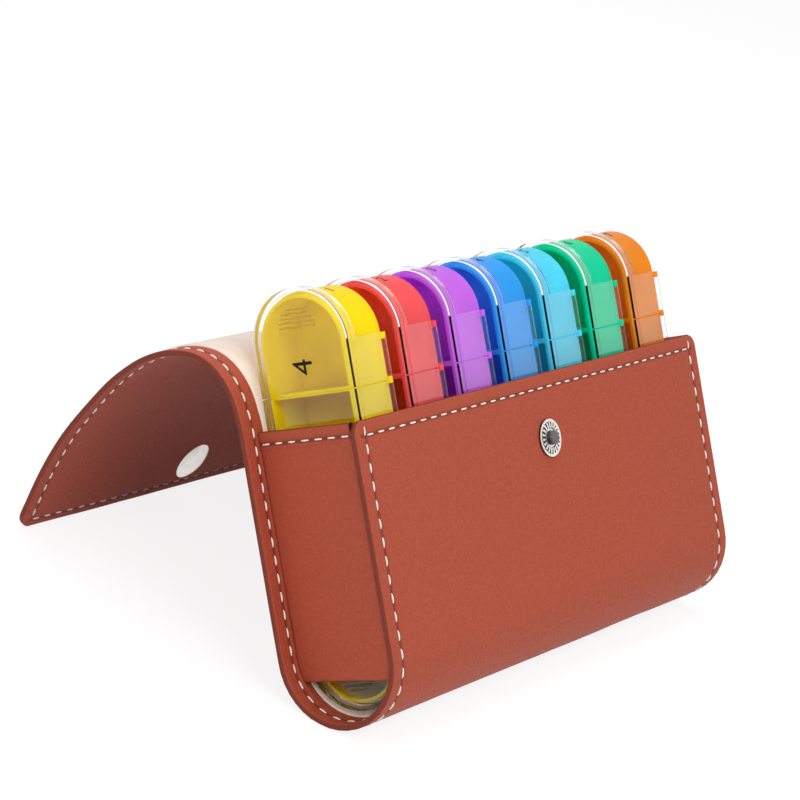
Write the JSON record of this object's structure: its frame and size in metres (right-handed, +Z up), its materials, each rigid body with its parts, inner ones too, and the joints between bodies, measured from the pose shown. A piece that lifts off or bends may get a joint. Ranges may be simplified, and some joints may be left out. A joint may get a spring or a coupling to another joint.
{
  "type": "weekly pill box",
  "caption": "Weekly pill box: coloured day boxes with four clear lids each, in a tan leather-look case that stands on its folded-back flap",
  "frame": {"origin": "centre of the bounding box on the floor under the standing case", "axes": "X runs along the row of day boxes, -Y is the front panel's side and +Z is up"},
  "size_m": [0.191, 0.149, 0.1107],
  "materials": {
    "leather": "satin",
    "suede": "matte",
    "nickel": "satin",
    "clear_lid": "gloss",
    "yellow_tray": "gloss",
    "red_tray": "gloss",
    "purple_tray": "gloss",
    "blue_tray": "gloss",
    "cyan_tray": "gloss",
    "green_tray": "gloss",
    "orange_tray": "gloss"
  },
  "bodies": {
    "case": {"case_wrap": "leather", "case_lining": "suede", "gusset_left": "leather", "gusset_right": "leather", "snap_stud": "nickel", "stud_rivet": "nickel"},
    "flap_1": {"flap_strip_1": "leather", "flap_lining_1": "suede"},
    "flap_2": {"flap_strip_2": "leather", "flap_lining_2": "suede"},
    "flap_3": {"flap_strip_3": "leather", "flap_lining_3": "suede"},
    "flap_4": {"flap_strip_4": "leather", "flap_lining_4": "suede"},
    "flap_5": {"flap_strip_5": "leather", "flap_lining_5": "suede"},
    "flap_6": {"flap_strip_6": "leather", "flap_lining_6": "suede"},
    "flap_7": {"flap_strip_7": "leather", "flap_lining_7": "suede"},
    "flap_8": {"flap_strip_8": "leather", "flap_lining_8": "suede", "snap_socket": "nickel", "snap_cap": "nickel"},
    "sun_box": {"sun_tray": "yellow_tray"},
    "sun_morn_lid": {"sun_lid_morn": "clear_lid"},
    "sun_noon_lid": {"sun_lid_noon": "clear_lid"},
    "sun_eve_lid": {"sun_lid_eve": "clear_lid"},
    "sun_bed_lid": {"sun_lid_bed": "clear_lid"},
    "mon_box": {"mon_tray": "red_tray"},
    "mon_morn_lid": {"mon_lid_morn": "clear_lid"},
    "mon_noon_lid": {"mon_lid_noon": "clear_lid"},
    "mon_eve_lid": {"mon_lid_eve": "clear_lid"},
    "mon_bed_lid": {"mon_lid_bed": "clear_lid"},
    "tue_box": {"tue_tray": "purple_tray"},
    "tue_morn_lid": {"tue_lid_morn": "clear_lid"},
    "tue_noon_lid": {"tue_lid_noon": "clear_lid"},
    "tue_eve_lid": {"tue_lid_eve": "clear_lid"},
    "tue_bed_lid": {"tue_lid_bed": "clear_lid"},
    "wed_box": {"wed_tray": "blue_tray"},
    "wed_morn_lid": {"wed_lid_morn": "clear_lid"},
    "wed_noon_lid": {"wed_lid_noon": "clear_lid"},
    "wed_eve_lid": {"wed_lid_eve": "clear_lid"},
    "wed_bed_lid": {"wed_lid_bed": "clear_lid"},
    "thu_box": {"thu_tray": "cyan_tray"},
    "thu_morn_lid": {"thu_lid_morn": "clear_lid"},
    "thu_noon_lid": {"thu_lid_noon": "clear_lid"},
    "thu_eve_lid": {"thu_lid_eve": "clear_lid"},
    "thu_bed_lid": {"thu_lid_bed": "clear_lid"},
    "fri_box": {"fri_tray": "green_tray"},
    "fri_morn_lid": {"fri_lid_morn": "clear_lid"},
    "fri_noon_lid": {"fri_lid_noon": "clear_lid"},
    "fri_eve_lid": {"fri_lid_eve": "clear_lid"},
    "fri_bed_lid": {"fri_lid_bed": "clear_lid"},
    "sat_box": {"sat_tray": "orange_tray"},
    "sat_morn_lid": {"sat_lid_morn": "clear_lid"},
    "sat_noon_lid": {"sat_lid_noon": "clear_lid"},
    "sat_eve_lid": {"sat_lid_eve": "clear_lid"},
    "sat_bed_lid": {"sat_lid_bed": "clear_lid"}
  },
  "joints": [
    {"name": "flap_fold", "type": "hinge", "parent": "case", "child": "flap_1", "pos_m": [0, -0.00595, 0.07193], "axis": [-1, 0, 0], "range_deg": [-21, 0]},
    {"name": "flap_bend_2", "type": "hinge", "parent": "flap_1", "child": "flap_2", "pos_m": [0, 0.00235, 0.07915], "axis": [-1, 0, 0], "range_deg": [-27, 0]},
    {"name": "flap_bend_3", "type": "hinge", "parent": "flap_2", "child": "flap_3", "pos_m": [0, 0.01302, 0.08181], "axis": [-1, 0, 0], "range_deg": [-63.6, 0]},
    {"name": "flap_bend_4", "type": "hinge", "parent": "flap_3", "child": "flap_4", "pos_m": [0, 0.02382, 0.07871], "axis": [-1, 0, 0], "range_deg": [-49.6, 0]},
    {"name": "flap_bend_5", "type": "hinge", "parent": "flap_4", "child": "flap_5", "pos_m": [0, 0.03334, 0.07276], "axis": [-1, 0, 0], "range_deg": [-46.6, 0]},
    {"name": "flap_bend_6", "type": "hinge", "parent": "flap_5", "child": "flap_6", "pos_m": [0, 0.04129, 0.06482], "axis": [-1, 0, 0], "range_deg": [-40.6, 0]},
    {"name": "flap_bend_7", "type": "hinge", "parent": "flap_6", "child": "flap_7", "pos_m": [0, 0.0482, 0.05597], "axis": [-1, 0, 0], "range_deg": [-39.6, 0]},
    {"name": "flap_bend_8", "type": "hinge", "parent": "flap_7", "child": "flap_8", "pos_m": [0, 0.06382, 0.031], "axis": [-1, 0, 0], "range_deg": [-26, 0]},
    {"name": "sun_lift", "type": "slide", "parent": "case", "child": "sun_box", "axis": [0, 0.4693, 0.883], "range_m": [0, 0.095]},
    {"name": "sun_morn_hinge", "type": "hinge", "parent": "sun_box", "child": "sun_morn_lid", "pos_m": [-0.069, -0.06888, 0.02512], "axis": [0, 0.4693, 0.883], "range_deg": [0, 2.5]},
    {"name": "sun_noon_hinge", "type": "hinge", "parent": "sun_box", "child": "sun_noon_lid", "pos_m": [-0.069, -0.05504, 0.05117], "axis": [0, 0.4693, 0.883], "range_deg": [0, 2.5]},
    {"name": "sun_eve_hinge", "type": "hinge", "parent": "sun_box", "child": "sun_eve_lid", "pos_m": [-0.069, -0.04119, 0.07722], "axis": [0, 0.4693, 0.883], "range_deg": [0, 2.5]},
    {"name": "sun_bed_hinge", "type": "hinge", "parent": "sun_box", "child": "sun_bed_lid", "pos_m": [-0.069, -0.02734, 0.10327], "axis": [0, 0.4693, 0.883], "range_deg": [0, 110]},
    {"name": "mon_lift", "type": "slide", "parent": "case", "child": "mon_box", "axis": [0, 0.4693, 0.883], "range_m": [0, 0.095]},
    {"name": "mon_morn_hinge", "type": "hinge", "parent": "mon_box", "child": "mon_morn_lid", "pos_m": [-0.0434, -0.06888, 0.02512], "axis": [0, 0.4693, 0.883], "range_deg": [0, 4]},
    {"name": "mon_noon_hinge", "type": "hinge", "parent": "mon_box", "child": "mon_noon_lid", "pos_m": [-0.0434, -0.05504, 0.05117], "axis": [0, 0.4693, 0.883], "range_deg": [0, 4]},
    {"name": "mon_eve_hinge", "type": "hinge", "parent": "mon_box", "child": "mon_eve_lid", "pos_m": [-0.0434, -0.04119, 0.07722], "axis": [0, 0.4693, 0.883], "range_deg": [0, 4]},
    {"name": "mon_bed_hinge", "type": "hinge", "parent": "mon_box", "child": "mon_bed_lid", "pos_m": [-0.0434, -0.02734, 0.10327], "axis": [0, 0.4693, 0.883], "range_deg": [0, 13]},
    {"name": "tue_lift", "type": "slide", "parent": "case", "child": "tue_box", "axis": [0, 0.4693, 0.883], "range_m": [0, 0.095]},
    {"name": "tue_morn_hinge", "type": "hinge", "parent": "tue_box", "child": "tue_morn_lid", "pos_m": [-0.0178, -0.06888, 0.02512], "axis": [0, 0.4693, 0.883], "range_deg": [0, 4]},
    {"name": "tue_noon_hinge", "type": "hinge", "parent": "tue_box", "child": "tue_noon_lid", "pos_m": [-0.0178, -0.05504, 0.05117], "axis": [0, 0.4693, 0.883], "range_deg": [0, 4]},
    {"name": "tue_eve_hinge", "type": "hinge", "parent": "tue_box", "child": "tue_eve_lid", "pos_m": [-0.0178, -0.04119, 0.07722], "axis": [0, 0.4693, 0.883], "range_deg": [0, 4]},
    {"name": "tue_bed_hinge", "type": "hinge", "parent": "tue_box", "child": "tue_bed_lid", "pos_m": [-0.0178, -0.02734, 0.10327], "axis": [0, 0.4693, 0.883], "range_deg": [0, 13]},
    {"name": "wed_lift", "type": "slide", "parent": "case", "child": "wed_box", "axis": [0, 0.4693, 0.883], "range_m": [0, 0.095]},
    {"name": "wed_morn_hinge", "type": "hinge", "parent": "wed_box", "child": "wed_morn_lid", "pos_m": [0.0078, -0.06888, 0.02512], "axis": [0, 0.4693, 0.883], "range_deg": [0, 4]},
    {"name": "wed_noon_hinge", "type": "hinge", "parent": "wed_box", "child": "wed_noon_lid", "pos_m": [0.0078, -0.05504, 0.05117], "axis": [0, 0.4693, 0.883], "range_deg": [0, 4]},
    {"name": "wed_eve_hinge", "type": "hinge", "parent": "wed_box", "child": "wed_eve_lid", "pos_m": [0.0078, -0.04119, 0.07722], "axis": [0, 0.4693, 0.883], "range_deg": [0, 4]},
    {"name": "wed_bed_hinge", "type": "hinge", "parent": "wed_box", "child": "wed_bed_lid", "pos_m": [0.0078, -0.02734, 0.10327], "axis": [0, 0.4693, 0.883], "range_deg": [0, 13]},
    {"name": "thu_lift", "type": "slide", "parent": "case", "child": "thu_box", "axis": [0, 0.4693, 0.883], "range_m": [0, 0.095]},
    {"name": "thu_morn_hinge", "type": "hinge", "parent": "thu_box", "child": "thu_morn_lid", "pos_m": [0.0334, -0.06888, 0.02512], "axis": [0, 0.4693, 0.883], "range_deg": [0, 4]},
    {"name": "thu_noon_hinge", "type": "hinge", "parent": "thu_box", "child": "thu_noon_lid", "pos_m": [0.0334, -0.05504, 0.05117], "axis": [0, 0.4693, 0.883], "range_deg": [0, 4]},
    {"name": "thu_eve_hinge", "type": "hinge", "parent": "thu_box", "child": "thu_eve_lid", "pos_m": [0.0334, -0.04119, 0.07722], "axis": [0, 0.4693, 0.883], "range_deg": [0, 4]},
    {"name": "thu_bed_hinge", "type": "hinge", "parent": "thu_box", "child": "thu_bed_lid", "pos_m": [0.0334, -0.02734, 0.10327], "axis": [0, 0.4693, 0.883], "range_deg": [0, 13]},
    {"name": "fri_lift", "type": "slide", "parent": "case", "child": "fri_box", "axis": [0, 0.4693, 0.883], "range_m": [0, 0.095]},
    {"name": "fri_morn_hinge", "type": "hinge", "parent": "fri_box", "child": "fri_morn_lid", "pos_m": [0.059, -0.06888, 0.02512], "axis": [0, 0.4693, 0.883], "range_deg": [0, 4]},
    {"name": "fri_noon_hinge", "type": "hinge", "parent": "fri_box", "child": "fri_noon_lid", "pos_m": [0.059, -0.05504, 0.05117], "axis": [0, 0.4693, 0.883], "range_deg": [0, 4]},
    {"name": "fri_eve_hinge", "type": "hinge", "parent": "fri_box", "child": "fri_eve_lid", "pos_m": [0.059, -0.04119, 0.07722], "axis": [0, 0.4693, 0.883], "range_deg": [0, 4]},
    {"name": "fri_bed_hinge", "type": "hinge", "parent": "fri_box", "child": "fri_bed_lid", "pos_m": [0.059, -0.02734, 0.10327], "axis": [0, 0.4693, 0.883], "range_deg": [0, 13]},
    {"name": "sat_lift", "type": "slide", "parent": "case", "child": "sat_box", "axis": [0, 0.4693, 0.883], "range_m": [0, 0.095]},
    {"name": "sat_morn_hinge", "type": "hinge", "parent": "sat_box", "child": "sat_morn_lid", "pos_m": [0.0846, -0.06888, 0.02512], "axis": [0, 0.4693, 0.883], "range_deg": [0, 4]},
    {"name": "sat_noon_hinge", "type": "hinge", "parent": "sat_box", "child": "sat_noon_lid", "pos_m": [0.0846, -0.05504, 0.05117], "axis": [0, 0.4693, 0.883], "range_deg": [0, 4]},
    {"name": "sat_eve_hinge", "type": "hinge", "parent": "sat_box", "child": "sat_eve_lid", "pos_m": [0.0846, -0.04119, 0.07722], "axis": [0, 0.4693, 0.883], "range_deg": [0, 4]},
    {"name": "sat_bed_hinge", "type": "hinge", "parent": "sat_box", "child": "sat_bed_lid", "pos_m": [0.0846, -0.02734, 0.10327], "axis": [0, 0.4693, 0.883], "range_deg": [0, 13]}
  ]
}
